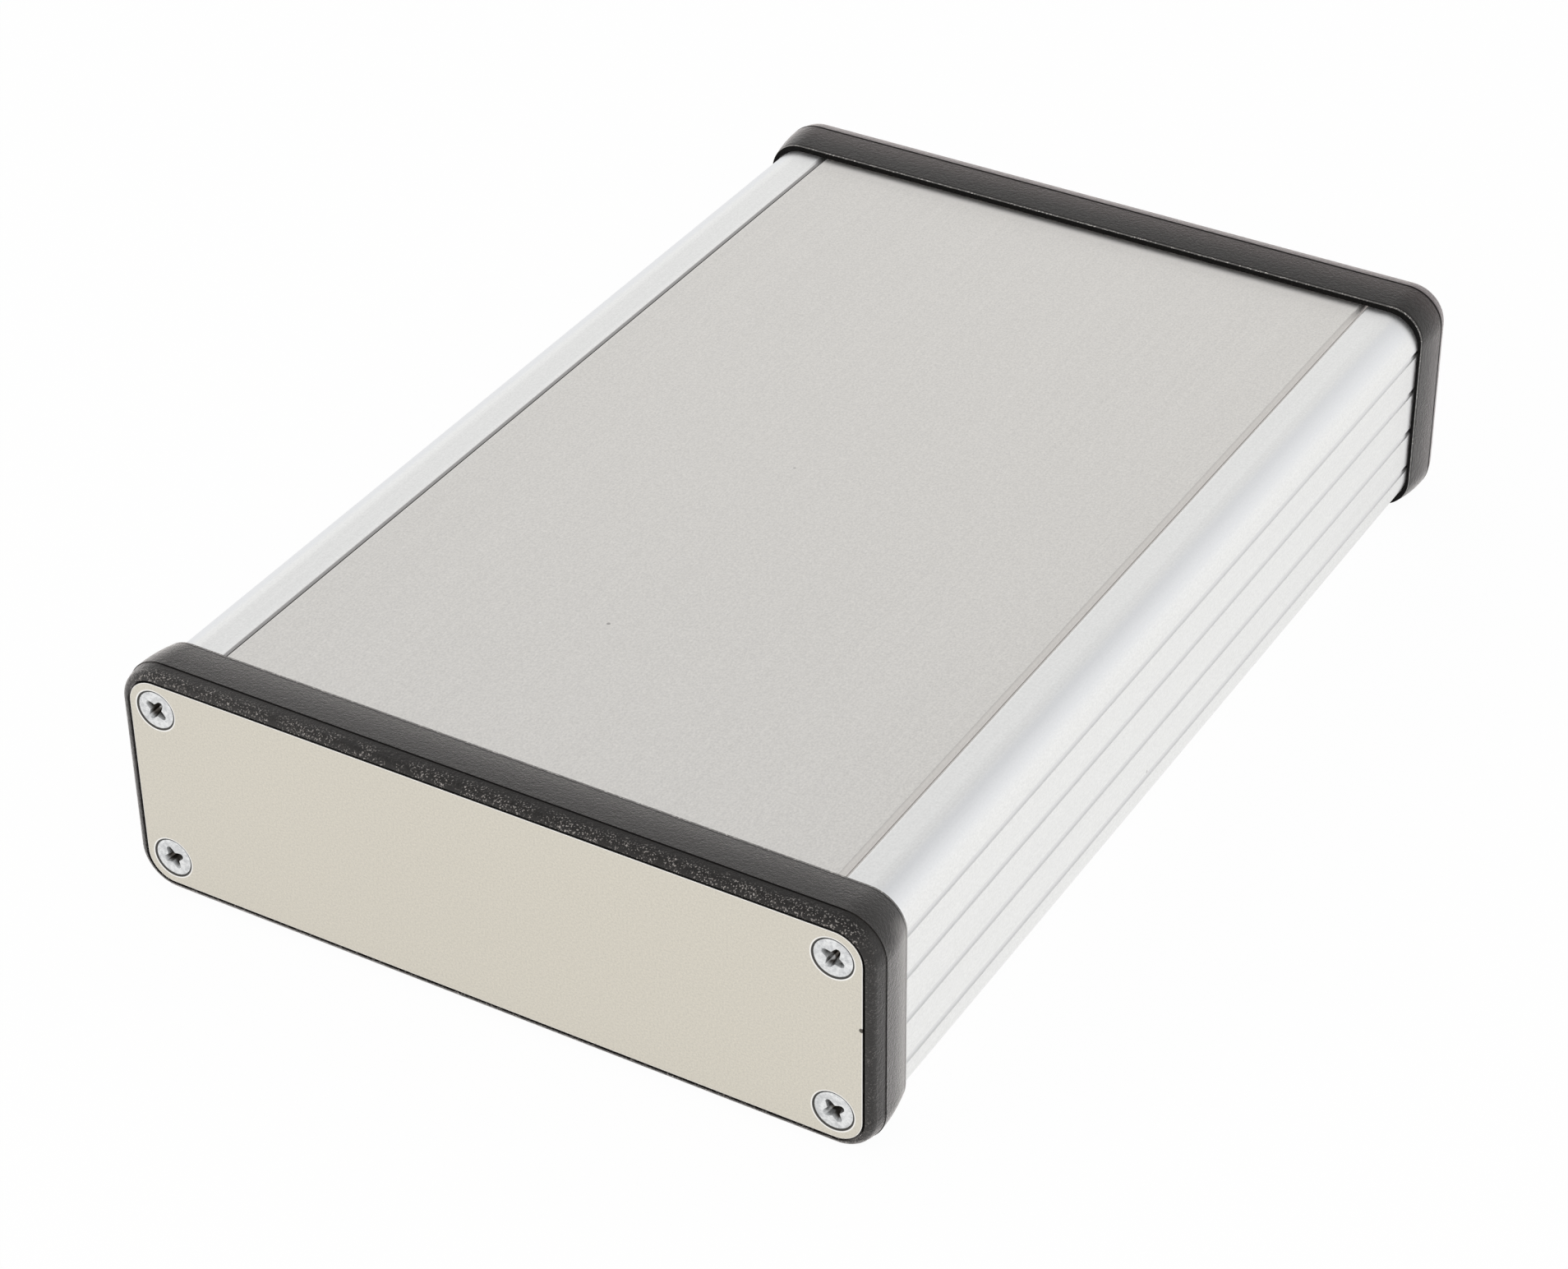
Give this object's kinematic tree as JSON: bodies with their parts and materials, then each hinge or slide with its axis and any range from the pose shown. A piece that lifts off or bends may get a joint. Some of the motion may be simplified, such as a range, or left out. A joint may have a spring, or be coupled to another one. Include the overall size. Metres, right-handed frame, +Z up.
{
  "type": "extruded aluminium enclosure",
  "caption": "Slim anodised aluminium instrument case: a fluted extrusion with a slide-in cover plate, black moulded end bezels and flat screwed-on end panels.",
  "frame": {"origin": "under the middle of the case, in the plane that the two bezels stand on", "axes": "+X to the right seen from the front panel, +Y along the extrusion towards the rear panel, +Z up through the cover plate"},
  "size_m": [0.1054, 0.1624, 0.0334],
  "materials": {
    "anodised_body": "clear anodised, satin, with fine lines along the extrusion",
    "cover_plate": "clear anodised, satin, fine grain along its length",
    "black_plastic": "moulded black plastic with a fine spark-eroded texture",
    "end_panel": "clear anodised, smooth satin, slightly warm",
    "zinc_screw": "bright zinc plating"
  },
  "bodies": {
    "root": {"case_body": "anodised_body", "cover_plate": "cover_plate", "front_bezel": "black_plastic", "rear_bezel": "black_plastic", "front_panel": "end_panel", "rear_panel": "end_panel", "front_screws": "zinc_screw", "rear_screws": "zinc_screw"}
  },
  "joints": []
}
